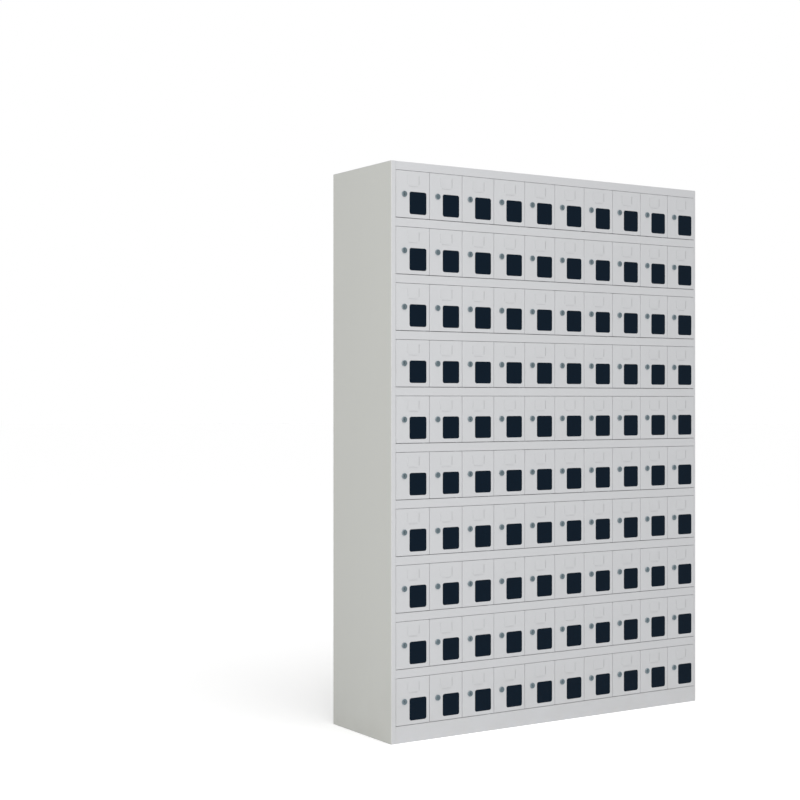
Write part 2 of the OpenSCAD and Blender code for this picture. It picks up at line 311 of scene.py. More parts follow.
@dataclass
class NodeBench:
    """A node tree with short ways to add and join nodes."""

    tree: NodeTree

    def add(self, kind: str, settings: dict[str, object] | None = None, **sockets: object) -> Node:
        """Adds a node.

        Args:
            kind: the node's type.
            settings: values of the node's own properties.
            sockets: input values or sockets, by the input's name with _ for a space.

        Returns:
            The node.
        """
        node = self.tree.nodes.new(kind)
        for key, value in (settings or {}).items():
            setattr(node, key, value)
        for key, value in sockets.items():
            self.put(node, key.replace("_", " "), value)
        return node

    def put(self, node: Node, key: str | int, value: object) -> None:
        """Sets an input to a value, or joins it to a socket."""
        if isinstance(value, NodeSocket):
            self.tree.links.new(value, node.inputs[key])
        else:
            node.inputs[key].default_value = value

    def maths(self, operation: str, *values: object) -> NodeSocket:
        """The result of a Math node on up to three values or sockets."""
        node = self.add("ShaderNodeMath", {"operation": operation})
        for i, value in enumerate(values):
            self.put(node, i, value)
        return node.outputs[0]

    def mixed(self, factor: object, first: object, second: object, blend: str = "MIX") -> NodeSocket:
        """Two colours or sockets mixed, where factor is the share of the second."""
        node = self.add("ShaderNodeMix", {"data_type": "RGBA", "blend_type": blend})
        for key, value in ((0, factor), (6, first), (7, second)):
            self.put(node, key, value)
        return node.outputs[2]

    def group(self, tree: NodeTree, values: dict[str, object]) -> Node:
        """Places a node group with its own values."""
        node = self.add("ShaderNodeGroup", {"node_tree": tree})
        for key, value in values.items():
            self.put(node, key, value)
        return node


class SharedEffects:
    """Node groups that more than one finish uses, each built once."""

    def __init__(self) -> None:
        """Builds every group."""
        self.mottle = self._mottle()
        self.grain = self._grain()
        self.low_patches = self._low_patches()

    @staticmethod
    def _group(
        name: str, inputs: dict[str, float | tuple[float, ...]], outputs: dict[str, str]
    ) -> tuple[NodeBench, Node, Node, NodeSocket]:
        """Starts a group with its sockets.

        Args:
            name: the group's name.
            inputs: each input's starting value, a number, a vector or a colour.
            outputs: each output's type.

        Returns:
            A bench on the group, its input and output nodes, and the place on the object.
        """
        kinds = {1: "NodeSocketFloat", 3: "NodeSocketVector", 4: "NodeSocketColor"}
        tree = bpy.data.node_groups.new(name, "ShaderNodeTree")
        for key, value in inputs.items():
            kind = kinds[len(value) if isinstance(value, tuple) else 1]
            tree.interface.new_socket(key, in_out="INPUT", socket_type=kind).default_value = value
        for key, kind in outputs.items():
            tree.interface.new_socket(key, in_out="OUTPUT", socket_type=kind)
        bench = NodeBench(tree)
        start, end = bench.add("NodeGroupInput"), bench.add("NodeGroupOutput")
        return bench, start, end, bench.add("ShaderNodeTexCoord").outputs["Object"]

    def _mottle(self) -> NodeTree:
        """Slow, cloudy change over a surface, as a tinted colour and a roughness."""
        grey = (0.5, 0.5, 0.5, 1)
        bench, start, end, place = self._group(
            "slow mottle",
            {"Colour": grey, "Amount": 0.03, "Scale": 6.0, "Roughness": 0.4, "Roughness Change": 0.06},
            {"Colour": "NodeSocketColor", "Roughness": "NodeSocketFloat"},
        )
        scale = start.outputs["Scale"]
        cloud = bench.add("ShaderNodeTexNoise", Vector=place, Scale=scale, Detail=4.0, Roughness=0.55)
        centred = bench.maths("SUBTRACT", cloud.outputs[0], 0.5)
        shade = bench.maths("MULTIPLY_ADD", centred, start.outputs["Amount"], 1.0)
        even = bench.add("ShaderNodeCombineColor", Red=shade, Green=shade, Blue=shade).outputs[0]
        bench.put(end, "Colour", bench.mixed(1.0, start.outputs["Colour"], even, "MULTIPLY"))
        fine = bench.add("ShaderNodeTexNoise", Vector=place, Scale=90.0, Detail=3.0).outputs[0]
        both = bench.maths("ADD", centred, bench.maths("SUBTRACT", fine, 0.5))
        change, mean = start.outputs["Roughness Change"], start.outputs["Roughness"]
        bench.put(end, "Roughness", bench.maths("MULTIPLY_ADD", both, change, mean))
        return bench.tree

    def _grain(self) -> NodeTree:
        """Fine relief of a surface as a height, stretched along one axis where it is brushed."""
        bench, start, end, place = self._group(
            "fine grain",
            {"Scale": 700.0, "Stretch": (1, 1, 1), "Softness": 0.4},
            {"Height": "NodeSocketFloat"},
        )
        scale = start.outputs["Scale"]
        scaled = bench.add("ShaderNodeVectorMath", {"operation": "MULTIPLY"})
        bench.put(scaled, 0, place)
        bench.put(scaled, 1, start.outputs["Stretch"])
        at, soft = scaled.outputs[0], start.outputs["Softness"]
        peel = bench.add("ShaderNodeTexNoise", Vector=at, Scale=scale, Detail=2.0, Roughness=soft)
        coarse = bench.maths("MULTIPLY", scale, 0.22)
        wave = bench.add("ShaderNodeTexNoise", Vector=at, Scale=coarse, Detail=1.0)
        bench.put(end, "Height", bench.maths("MULTIPLY_ADD", wave.outputs[0], 0.6, peel.outputs[0]))
        return bench.tree

    def _low_patches(self) -> NodeTree:
        """A mask that is strong towards the floor and in drifting patches."""
        bench, start, end, place = self._group(
            "patches towards the floor", {"Reach": 0.35, "Patches": 9.0}, {"Mask": "NodeSocketFloat"}
        )
        height = bench.add("ShaderNodeSeparateXYZ", Vector=place).outputs["Z"]
        smooth = {"interpolation_type": "SMOOTHSTEP"}
        reach = start.outputs["Reach"]
        low = bench.add("ShaderNodeMapRange", smooth, Value=height, From_Min=reach, From_Max=0.0)
        patch = bench.add("ShaderNodeTexNoise", Vector=place, Scale=start.outputs["Patches"], Detail=5.0)
        spread = bench.add("ShaderNodeMapRange", Value=patch.outputs[0], From_Min=0.35, From_Max=0.7)
        bench.put(end, "Mask", bench.maths("MULTIPLY", low.outputs[0], spread.outputs[0]))
        return bench.tree


def blank_material(name: str) -> tuple[Material, NodeBench, Node]:
    """A new material, a bench on its tree and its bare Principled shader."""
    material = bpy.data.materials.new(name)
    material.use_nodes = True
    bench = NodeBench(material.node_tree)
    material.node_tree.nodes.clear()
    shader = bench.add("ShaderNodeBsdfPrincipled")
    bench.add("ShaderNodeOutputMaterial", Surface=shader.outputs[0])
    return material, bench, shader


def linear(rgb: Colour) -> tuple[float, float, float, float]:
    """A display colour of 0 to 255 as a linear one with its alpha."""
    found = []
    for c in rgb:
        s = c / 255
        found.append(s / 12.92 if s <= 0.04045 else ((s + 0.055) / 1.055) ** 2.4)
    return (found[0], found[1], found[2], 1.0)


@dataclass(frozen=True)
class Finish:
    """What every finish has.

    Args:
        name: the material's name.
        colour: its colour, or a metal's reflection, 0 to 255.
        roughness: its mean roughness.
    """

    name: str
    colour: Colour
    roughness: float

    def _start(
        self, effects: SharedEffects, amount: float, scale: float, change: float
    ) -> tuple[Material, NodeBench, Node, NodeSocket]:
        """Starts the material with a slow mottle.

        Args:
            effects: the shared effects.
            amount: how much the colour changes.
            scale: how many clouds there are to the metre.
            change: how much the roughness changes.

        Returns:
            The material, a bench on its tree, the shader and the mottled colour.
        """
        material, bench, shader = blank_material(self.name)
        values = {"Colour": linear(self.colour), "Amount": amount, "Scale": scale}
        values |= {"Roughness": self.roughness, "Roughness Change": change}
        mottle = bench.group(effects.mottle, values)
        bench.put(shader, "Roughness", mottle.outputs["Roughness"])
        return material, bench, shader, mottle.outputs["Colour"]

    @staticmethod
    def _relief(bench: NodeBench, shader: Node, grain: Node, strength: float, depth: float) -> None:
        """Gives the shader a relief from a grain's node, with its depth in millimetres."""
        height = grain.outputs[0]
        bump = bench.add("ShaderNodeBump", Strength=strength, Distance=depth * METRES, Height=height)
        bench.put(shader, "Normal", bump.outputs[0])


@dataclass(frozen=True)
class PowderCoat(Finish):
    """Baked powder paint: satin, with a fine orange peel and a slow mottle.

    Args:
        peel: the depth of the orange peel, in millimetres.
        low_tint: how much the mix towards a darker, warmer grey shows near the floor.
        low_tint_colour: that darker, warmer grey, 0 to 255.
    """

    roughness: float = 0.5
    peel: float = 0.012
    low_tint: float = 0.12
    low_tint_colour: Colour = (168, 163, 152)

    def material(self, effects: SharedEffects) -> Material:
        """Builds the material from the shared effects."""
        material, bench, shader, colour = self._start(effects, amount=0.035, scale=5.0, change=0.09)
        # Towards the floor and in patches the coat is mixed a little towards a darker, warmer grey.
        low_patches = bench.group(effects.low_patches, {"Reach": 0.3, "Patches": 11.0})
        shown = bench.maths("MULTIPLY", low_patches.outputs[0], self.low_tint)
        bench.put(shader, "Base Color", bench.mixed(shown, colour, linear(self.low_tint_colour)))
        bench.put(shader, "Specular IOR Level", 0.4)
        grain = bench.group(effects.grain, {"Scale": 620.0})
        self._relief(bench, shader, grain, strength=0.5, depth=self.peel)
        return material


@dataclass(frozen=True)
class PlatedMetal(Finish):
    """Plated or polished metal with fine scratches.

    Args:
        stretch: how the scratches are drawn out along X, Y and Z.
    """

    stretch: Point3 = (1, 1, 1)

    def material(self, effects: SharedEffects) -> Material:
        """Builds the material from the shared effects."""
        material, bench, shader, colour = self._start(effects, amount=0.22, scale=160.0, change=0.16)
        bench.put(shader, "Base Color", colour)
        grain = bench.group(effects.grain, {"Scale": 900.0, "Stretch": self.stretch})
        self._relief(bench, shader, grain, strength=0.35, depth=0.006)
        bench.put(shader, "Metallic", 1.0)
        return material


@dataclass(frozen=True)
class TintedAcrylic(Finish):
    """Dark tinted acrylic sheet, polished, with faint smears."""

    def material(self, effects: SharedEffects) -> Material:
        """Builds the material from the shared effects."""
        material, bench, shader, colour = self._start(effects, amount=0.12, scale=14.0, change=0.1)
        bench.put(shader, "Base Color", colour)
        grain = bench.group(effects.grain, {"Scale": 60.0, "Softness": 0.2})
        self._relief(bench, shader, grain, strength=0.15, depth=0.02)
        bench.put(shader, "Specular IOR Level", 0.045)
        return material


@dataclass(frozen=True)
class CabinetSizes:
    """Driving sizes of the cabinet in millimetres, the same as the CAD source's."""

    width: float = 1200
    height: float = 1700
    depth: float = 335
    sheet: float = 0.8
    front_bend: float = 2.5
    fold: float = 1.0
    rows: int = 10
    columns: int = 10
    top_band: float = 25
    plinth: float = 50
    rail: float = 25
    rail_depth: float = 13
    left_stile: float = 16
    right_stile: float = 8
    door_proud: float = 1
    lock_proud: float = 2.5
    side_gap: float = 1.2
    bottom_gap: float = 1.5
    single_doors: tuple[tuple[int, int], ...] = ((4, 3), (7, 8))

    @property
    def frame_y(self) -> float:
        """The face of the rails and stiles."""
        return (self.door_proud + self.lock_proud - self.depth) / 2

    @property
    def rail_back(self) -> float:
        """The back edge of the rails' folds."""
        return self.frame_y + self.rail_depth

    @property
    def back_y(self) -> float:
        """The outer face of the back."""
        return self.frame_y + self.depth

    @property
    def left_x(self) -> float:
        """The left end of the rails."""
        return self.left_stile - self.width / 2

    @property
    def right_x(self) -> float:
        """The right end of the rails."""
        return self.width / 2 - self.right_stile

    @property
    def pitch(self) -> float:
        """The distance from one column to the next."""
        return (self.right_x - self.left_x) / self.columns

    @property
    def opening(self) -> float:
        """The height of the openings between the rails."""
        bands = self.top_band + self.plinth + (self.rows - 1) * self.rail
        return (self.height - bands) / self.rows

    def floor(self, row: int) -> float:
        """The lower edge of a row's opening."""
        return self.height - self.top_band - row * self.opening - (row - 1) * self.rail

    def door_corner(self, row: int, column: int) -> Point3:
        """The lower left front corner of a door."""
        x = self.left_x + (column - 1) * self.pitch + self.side_gap / 2
        return (x, self.frame_y - self.door_proud, self.floor(row) + self.bottom_gap)

    def rows_of(self, column: int) -> list[int]:
        """The rows of a column whose doors move together."""
        return [r for r in range(1, self.rows + 1) if (r, column) not in self.single_doors]


@dataclass
class Finishes:
    """Every finish of the cabinet, made once."""

    front: Material
    side: Material
    inside: Material
    acrylic: Material
    lock: Material
    rim: Material
    steel: Material

    @classmethod
    def made(cls) -> "Finishes":
        """Builds the shared effects and each material."""
        effects = SharedEffects()
        return cls(
            front=PowderCoat("pale grey powder coat", (202, 203, 205)).material(effects),
            # The side coat is the front paint with a warmer tint: painted warm shade for the sideways faces
            # and the back.
            side=PowderCoat("pale grey powder coat, side, painted warm shade", (203, 204, 199)).material(effects),
            # The inside coat is the front paint made a touch darker: painted shade for the compartments.
            inside=PowderCoat("pale grey powder coat, inside, painted shade", (197, 198, 199), 0.56).material(effects),
            acrylic=TintedAcrylic("dark tinted acrylic", (9, 24, 37), 0.16).material(effects),
            # The lock plating's dark grey-teal is a painted dark reflection.
            lock=PlatedMetal("lock plating, painted dark reflection", (105, 119, 125), 0.34).material(effects),
            # The rim coat is a lighter copy of the plating: a painted highlight on the lock face's bevel.
            rim=PlatedMetal("lock rim, painted highlight", (158, 167, 172), 0.48).material(effects),
            steel=PlatedMetal("zinc plated steel", (176, 178, 180), 0.38, (1, 1, 0.2)).material(effects),
        )


def place(piece: Object, body: str, slot: str, node: str) -> None:
    """Puts a built piece on its CAD body, in place of its CAD node."""
    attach(piece, body)
    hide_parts(node)
    log.info("%s rides %s and stands for %s", piece.name, body, node)


@dataclass
class FoldedBody:
    """The outer sheets of the cabinet, each folded from one piece of steel."""

    sizes: CabinetSizes
    finishes: Finishes
    body: str = "cabinet"
    corner_steps: int = 6

    def build(self) -> None:
        """Builds the outer sheets and dresses the inner ones."""
        s = self.sizes
        both = [self.finishes.side, self.finishes.front]
        sides = (
            (self._side(s.left_stile), "left_side"),
            (self._side(s.right_stile).mirrored(), "right_side"),
        )
        for side, name in sides:
            sheet = side.outward()
            # Sideways faces keep the side coat, whose warmer tint is painted shade; the stiles' front faces
            # take the front coat.
            sheet.finish_where(lambda _, normal: abs(normal.x) < math.sqrt(0.5), 1)
            place(sheet.build(f"{name}_sheet", both), self.body, "grey_paint_side", f"{name}_panel")
        bands = (
            (self._top(), "top_sheet", "top_panel"),
            (self._base(), "base_sheet", "base_plinth"),
            (self._rails(), "rails_between_rows", "front_rails"),
        )
        for sheet, name, node in bands:
            piece = sheet.outward().build(name, [self.finishes.front])
            place(piece, self.body, "grey_paint", node)
        self._dress()

    def _side(self, stile: float) -> Shell:
        """The left side sheet with a stile of some width and the return behind the stile's edge."""
        s = self.sizes
        x0, x1 = -s.width / 2, stile - s.width / 2
        path = [(x1, s.rail_back), (x1, s.frame_y), (x0, s.frame_y), (x0, s.back_y)]
        section = folded(path, s.sheet, (s.fold, s.front_bend))
        shell = Shell()
        shell.draw_out(section, Along.Z, s.sheet, s.height - s.sheet)
        return shell

    def _end_plates(self, z: float) -> Shell:
        """The corners of the top or bottom sheet over the stiles, from z upwards."""
        s = self.sizes
        x0, r = -s.width / 2, s.front_bend
        shell = Shell()
        for stile_x, at_left in ((s.left_x, True), (-s.right_x, False)):
            outline = [(stile_x, s.frame_y), (stile_x, s.back_y), (x0, s.back_y)]
            outline += arc((x0 + r, s.frame_y + r), r, 180, 270, self.corner_steps)
            corner = Shell()
            corner.draw_out(outline, Along.Z, z, z + s.sheet)
            shell.join(corner if at_left else corner.mirrored())
        return shell

    def _band(self, shell: Shell, path: Outline) -> None:
        """Adds a sheet folded along a path of depths and heights, from stile to stile."""
        s = self.sizes
        shell.draw_out(folded(path, s.sheet, (s.fold, s.fold)), Along.X, s.left_x, s.right_x)

    def _top(self) -> Shell:
        """The top sheet with its band folded down and back."""
        s = self.sizes
        high, low = s.height, s.height - s.top_band
        shell = self._end_plates(high - s.sheet)
        self._band(shell, [(s.rail_back, low), (s.frame_y, low), (s.frame_y, high), (s.back_y, high)])
        return shell

    def _base(self) -> Shell:
        """The bottom sheet with the plinth's band folded up and back."""
        s = self.sizes
        shell = self._end_plates(0)
        self._band(shell, [(s.back_y, 0), (s.frame_y, 0), (s.frame_y, s.plinth), (s.rail_back, s.plinth)])
        return shell

    def _rails(self) -> Shell:
        """The folded rails between the rows."""
        s = self.sizes
        shell = Shell()
        for row in range(1, s.rows):
            high, low = s.floor(row), s.floor(row) - s.rail
            self._band(shell, [(s.rail_back, low), (s.frame_y, low), (s.frame_y, high), (s.rail_back, high)])
        return shell

    def _dress(self) -> None:
        """Gives the inner sheets and the pins that show as packed their finishes, with painted shade in the
        back's and inner sheets' coats.
        """
        nodes = {
            # The back takes the side coat with its painted warm shade.
            "back_panel": self.finishes.side,
            # The inner sheets take the inside coat, a touch darker than the front coat: painted shade for
            # the compartments.
            "compartment_shelves": self.finishes.inside,
            "compartment_dividers": self.finishes.inside,
            "lock_strikes": self.finishes.inside,
            "hinge_pins": self.finishes.steel,
        }
        for name, material in nodes.items():
            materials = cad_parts[name].data.materials
            materials.clear()
            materials.append(material)
            log.info("%s keeps its packed shape", name)


@dataclass
class DoorPan:
    """The folded steel pan of one door, with its window, lock hole and card holder."""

    width: float = 116.4
    height: float = 137.5
    depth: float = 13
    sheet: float = 0.8
    bend: float = 1.2
    bend_steps: int = 4
    edge: float = 0.2
    corner: float = 1.5
    least_corner: float = 0.3
    corner_steps: int = 3
    window_low: Point2 = (46.3, 11.2)
    window_high: Point2 = (106.1, 77.2)
    window_corner: float = 6.5
    window_steps: int = 6
    window_rim: float = 0.25
    lock: Point2 = (28.2, 68.9)
    lock_hole: float = 8.3
    lock_flats: int = 24
    card_x: Point2 = (37.8, 81.8)
    card_z: Point2 = (99.3, 124.3)
    card_low: Point2 = (44.8, 74.8)
    card_low_z: float = 92.7
    lip_out: float = 1
    lip_sheet: float = 0.6
    lip_width: float = 2.2
    lip_bend: float = 0.5
    lip_steps: int = 4
    lip_root: float = 0.4
    lip_bevel: float = 0.15
    lip_back_bevel: float = 0.12
    lip_taper: float = 0.9

    def shell(self) -> Shell:
        """The whole pan from its lower left front corner."""
        made = Shell()
        self._pan(made)
        for lip, at in self._lips():
            made.join(lip, at)
        return made.outward()

    def _level(self, inset: float, depth: float) -> Level:
        """The pan's outline at a depth, drawn in by an inset, with that depth."""
        corner = max(self.corner - inset, self.least_corner)
        high = (self.width - inset, self.height - inset)
        return rounded_rectangle((inset, inset), high, corner, self.corner_steps), depth

    def _bent(self, start: float, radius: float) -> list[Level]:
        """The levels round the front bend of a face that lies start inside the outer one."""
        found = []
        for i in range(self.bend_steps + 1):
            a = math.radians(90 * i / self.bend_steps)
            found.append(self._level(start + radius * (1 - math.sin(a)), start + radius * (1 - math.cos(a))))
        return found

    def _slots(self) -> list[list[Point2]]:
        """The slots that the lips leave in the sheet."""
        t, w = self.lip_sheet, self.lip_width
        (x0, x1), (z0, z1) = self.card_x, self.card_z
        u0, u1 = self.card_low
        return [
            rectangle((x0 + t, z0), (x0 + w, z1)),
            rectangle((x1 - w, z0), (x1 - t, z1)),
            rectangle((u0, self.card_low_z + t), (u1, self.card_low_z + w)),
        ]

    def _pan(self, made: Shell) -> None:
        """Adds the sheet with its folded edges and its holes."""
        t, edge, back, rim = self.sheet, self.edge, self.depth, self.window_rim
        levels = self._bent(0, self.bend)
        levels += [self._level(0, back - edge), self._level(edge, back)]
        levels += [self._level(t - edge, back), self._level(t, back - edge)]
        made.loft(levels + self._bent(t, self.bend - t)[::-1])
        (x0, z0), (x1, z1) = self.window_low, self.window_high
        corner, steps = self.window_corner, self.window_steps
        opened = rounded_rectangle((x0 - rim, z0 - rim), (x1 + rim, z1 + rim), corner + rim, steps)
        window = rounded_rectangle((x0, z0), (x1, z1), corner, steps)
        lock = circle(self.lock_hole, self.lock_flats, self.lock)
        slots = self._slots()
        outline, _ = self._level(self.bend, 0)
        made.plate([outline, opened, lock, *slots], 0)
        made.plate([outline, window, lock, *slots], t)
        made.loft([(opened, 0), (window, rim), (window, t)])
        for hole in (lock, *slots):
            made.loft([(hole, 0), (hole, t)])

    def _lip(self, length: float) -> Shell:
        """One pressed lip along Z, its wall at the left and its overhang to the right."""
        t, out, w, r = self.lip_sheet, self.lip_out, self.lip_width, self.lip_bend
        root, bevel, behind = self.lip_root, self.lip_bevel, self.lip_back_bevel
        profile = [(0, root), *arc((r, r - out), r, 180, 270, self.lip_steps)]
        profile += [(w - bevel, -out), (w, bevel - out), (w, t - out - behind), (w - behind, t - out)]
        profile += [(t + bevel, t - out), (t, t - out + bevel), (t, root)]
        mid = (t / 2, (t - out) / 2)
        taper = self.lip_taper
        small = [(mid[0] + (x - mid[0]) * taper, mid[1] + (y - mid[1]) * taper) for x, y in profile]
        edge = self.edge
        shell = Shell()
        shell.solid([(small, 0), (profile, edge), (profile, length - edge), (small, length)], Along.Z)
        return shell

    def _lips(self) -> list[tuple[Shell, Point3]]:
        """The lips of the card holder with their places."""
        (x0, x1), (z0, z1) = self.card_x, self.card_z
        upright = self._lip(z1 - z0)
        low = self._lip(self.card_low[1] - self.card_low[0])
        lying = Shell([(z, y, x) for x, y, z in low.points], low.faces, low.finishes)
        return [
            (upright, (x0, 0, z0)),
            (upright.mirrored(), (x1, 0, z0)),
            (lying, (self.card_low[0], 0, self.card_low_z)),
        ]


@dataclass
class WindowPane:
    """The tinted pane behind a door's window."""

    window_low: Point2
    window_high: Point2
    lap: float = 4
    front: float = 0.8
    thickness: float = 2
    corner: float = 5
    corner_steps: int = 5
    polish: float = 0.3

    def shell(self) -> Shell:
        """The pane from its door's lower left front corner."""
        y0, y1, c = self.front, self.front + self.thickness, self.polish
        levels = []
        for inset, y in ((c, y0), (0, y0 + c), (0, y1 - c), (c, y1)):
            lap = self.lap - inset
            low = (self.window_low[0] - lap, self.window_low[1] - lap)
            high = (self.window_high[0] + lap, self.window_high[1] + lap)
            levels.append((rounded_rectangle(low, high, self.corner - inset, self.corner_steps), y))
        made = Shell()
        made.solid(levels)
        return made.outward()


class LockFinish(Enum):
    """The finish numbers inside a joined lock."""

    # The plating's colour is a painted dark reflection; the rim is its lighter copy on the face's bevel, a
    # painted highlight.
    PLATING = 0
    RIM_PAINTED_HIGHLIGHT = 1
    STEEL = 2


@dataclass
class CamLock:
    """A cam lock about its own axis, from the door's front face backwards."""

    flats: int = 32
    face: float = 9
    face_out: float = 2.5
    bevel: float = 0.7
    bevel_middle: Point2 = (0.25, 0.35)
    edge: float = 0.15
    soft: float = 0.1
    head: float = 6.5
    head_thick: float = 1.5
    head_edge: float = 0.2
    recess: float = 0.3
    plug: float = 5.5
    plug_edge: float = 0.3
    barrel: float = 8
    thread_deep: float = 0.35
    thread_turns: int = 9
    thread_start: float = 0.6
    thread_end: float = 0.4
    clearance: float = 0.05
    slot: Point2 = (1.8, 7)
    slot_corner: float = 0.35
    slot_steps: int = 2
    slot_deep: float = 7
    nut_corners: int = 36
    nut_flats: float = 20
    nut_thick: float = 3.5
    nut_chamfer: float = 0.6
    nut_rounding: float = 0.35
    play: float = 0.3
    sheet: float = 0.8
    cam_front: float = 15.6
    cam_width: float = 12
    cam_reach: float = 24
    cam_thick: float = 1.6
    cam_gap: float = 0.8
    cam_edge: float = 0.2
    cam_steps: int = 14
    cam_hole_flats: int = 16
    screw: float = 2
    screw_flats: int = 24
    screw_deep: float = 4
    screw_head: float = 4
    screw_side: float = 0.9
    screw_thick: float = 2
    screw_dome: tuple[Point2, Point2] = ((0.3, 0.45), (1.1, 0))
    driver_slot: Point2 = (0.5, 0.4)
    driver_deep: float = 0.9
    stack: float = 0.05

    def barrel_shell(self) -> Shell:
        """The barrel with its bevelled face and its rolled thread."""
        bore, seat = self.plug + self.clearance, self.recess - self.face_out + self.head_thick
        head, face = self.head + self.clearance, self.face
        out, end = self.face_out, self.cam_front - self.cam_gap / 2
        edge, soft, root = self.edge, self.soft, self.barrel - self.thread_deep
        across, down = self.bevel_middle
        profile = [(head, edge - out), (head + edge, -out), (face - self.bevel - soft, -out)]
        profile += [(face - across, down - out), (face, self.bevel - out + soft), (face, 0)]
        profile += [(self.barrel - soft, 0)]
        pitch = (end - 2 * self.thread_start) / self.thread_turns
        for i in range(self.thread_turns):
            y = self.thread_start + pitch * i
            profile += [(root, y), (self.barrel, y + pitch / 2)]
        profile += [(root, end - self.thread_end), (self.barrel - 2 * self.thread_deep, end), (bore, end)]
        profile += [(bore, seat + soft), (head, seat + soft)]
        made = Shell()
        made.turned(profile, self.flats, closed=True)
        made = made.outward()
        rim, behind = face - self.bevel, self.bevel - out + soft
        # The bevel and outer ring of the face take the lighter rim coat, a painted highlight.
        made.finish_where(lambda at, _: at.y < behind and math.hypot(at.x, at.z) > rim, LockFinish.RIM_PAINTED_HIGHLIGHT.value)
        return made

    def plug_shell(self) -> Shell:
        """The turning plug with its key slot."""
        front = self.recess - self.face_out
        seat, end = front + self.head_thick, self.cam_front - self.stack
        face, tip = self.head - self.head_edge, self.plug - self.plug_edge
        profile = [(face, front), (self.head, front + self.head_edge), (self.head, seat)]
        profile += [(self.plug, seat), (self.plug, end - self.plug_edge), (tip, end)]
        made = Shell()
        made.turned(profile, self.flats)
        wide, key = self._key_slot(self.edge), self._key_slot(0)
        deep = front + self.slot_deep
        made.plate([circle(face, self.flats), wide], front)
        made.loft([(wide, front), (key, front + self.edge), (key, deep)])
        made.plate([key], deep)
        made.plate([circle(tip, self.flats)], end)
        return made.outward()

    def _key_slot(self, extra: float) -> list[Point2]:
        """The key slot's outline with slightly round corners, wider all round by extra."""
        half = (self.slot[0] / 2 + extra, self.slot[1] / 2 + extra)
        return rounded_rectangle((-half[0], -half[1]), half, self.slot_corner, self.slot_steps)

    def nut_shell(self) -> Shell:
        """The hexagon nut behind the door, its corners chamfered."""
        apothem = self.nut_flats / 2

        def hexagon(limit: float) -> list[Point2]:
            """The hexagon's outline, cut back to a circle of radius limit."""
            found = []
            for i in range(self.nut_corners):
                turn = 360 * i / self.nut_corners
                a = math.radians(turn)
                r = min(apothem / math.cos(math.radians(turn % 60 - 30)), limit)
                found.append((r * math.cos(a), r * math.sin(a)))
            return found

        full, cut = hexagon(math.inf), hexagon(apothem + self.nut_rounding)
        hole = circle(self.barrel + self.play, self.nut_corners)
        y0, y1, chamfer = self.sheet, self.sheet + self.nut_thick, self.nut_chamfer
        levels = [(hole, y0), (cut, y0), (full, y0 + chamfer), (full, y1 - chamfer), (cut, y1), (hole, y1)]
        made = Shell()
        made.loft(levels, closed=True)
        return made.outward()

    def cam_shell(self) -> Shell:
        """The flat cam, hanging down as when the door is unlocked."""
        r, low = self.cam_width / 2, self.cam_width / 2 - self.cam_reach

        def outline(inset: float) -> list[Point2]:
            """The cam's outline, drawn in by an inset."""
            steps = self.cam_steps
            return arc((0, 0), r - inset, 0, 180, steps) + arc((0, low), r - inset, 180, 360, steps)

        y0, y1, edge = self.cam_front, self.cam_front + self.cam_thick, self.cam_edge
        small, full = outline(edge), outline(0)
        hole = circle(self.screw + self.play, self.cam_hole_flats)
        made = Shell()
        made.loft([(small, y0), (full, y0 + edge), (full, y1 - edge), (small, y1)])
        made.loft([(hole, y0), (hole, y1)])
        for y in (y0, y1):
            made.plate([small, hole], y)
        return made.outward()

    def screw_shell(self) -> Shell:
        """The cam screw, with a domed head and a slot for a driver."""
        start = self.cam_front - self.screw_deep
        seat = self.cam_front + self.cam_thick + self.stack
        head, end = self.screw_head, seat + self.screw_thick
        profile = [(self.screw, start), (self.screw, seat), (head, seat), (head, seat + self.screw_side)]
        profile += [(head - across, end - down) for across, down in self.screw_dome]
        made = Shell()
        made.turned(profile, self.screw_flats)
        made.plate([circle(self.screw, self.screw_flats)], start)
        flat = profile[-1][0]
        half, inset = self.driver_slot
        slot = rectangle((-half, inset - flat), (half, flat - inset))
        made.plate([circle(flat, self.screw_flats), slot], end)
        made.loft([(slot, end), (slot, end - self.driver_deep)])
        made.plate([slot], end - self.driver_deep)
        return made.outward()

    def joined(self) -> Shell:
        """All the lock's pieces with their finish numbers."""
        made = Shell()
        for part in (self.barrel_shell(), self.plug_shell()):
            made.join(part)
        for part in (self.nut_shell(), self.cam_shell(), self.screw_shell()):
            made.join(part, finish=LockFinish.STEEL.value)
        return made


